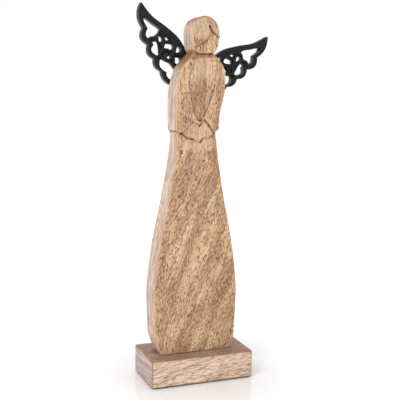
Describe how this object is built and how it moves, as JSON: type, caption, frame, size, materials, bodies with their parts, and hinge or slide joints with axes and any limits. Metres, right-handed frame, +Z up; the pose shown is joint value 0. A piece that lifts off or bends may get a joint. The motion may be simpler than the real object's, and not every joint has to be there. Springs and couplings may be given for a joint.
{
  "type": "carved wooden figurine",
  "caption": "Faceless winged figure carved from a flat board, standing on a rectangular wooden plinth, with an openwork black metal wing pair screwed to its back.",
  "frame": {"origin": "middle of the felt sheet's underside, the face that the object stands on", "axes": "+Z up along the figure, +Y to its back, so that the figure faces -Y; X along the plinth's long side"},
  "size_m": [0.1287, 0.055, 0.3469],
  "materials": {
    "figure_wood": "oiled open-pored hardwood, satin",
    "plinth_wood": "oiled open-pored hardwood, satin",
    "wing_black": "satin black lacquer on a casting",
    "screw_steel": "zinc-plated, dull",
    "felt": "pressed wool felt"
  },
  "bodies": {
    "root": {"figure": "figure_wood", "plinth": "plinth_wood", "felt_sheet": "felt", "wings": "wing_black", "wing_screw_left": "screw_steel", "wing_screw_right": "screw_steel", "plinth_screw_left": "screw_steel", "plinth_screw_right": "screw_steel"}
  },
  "joints": []
}
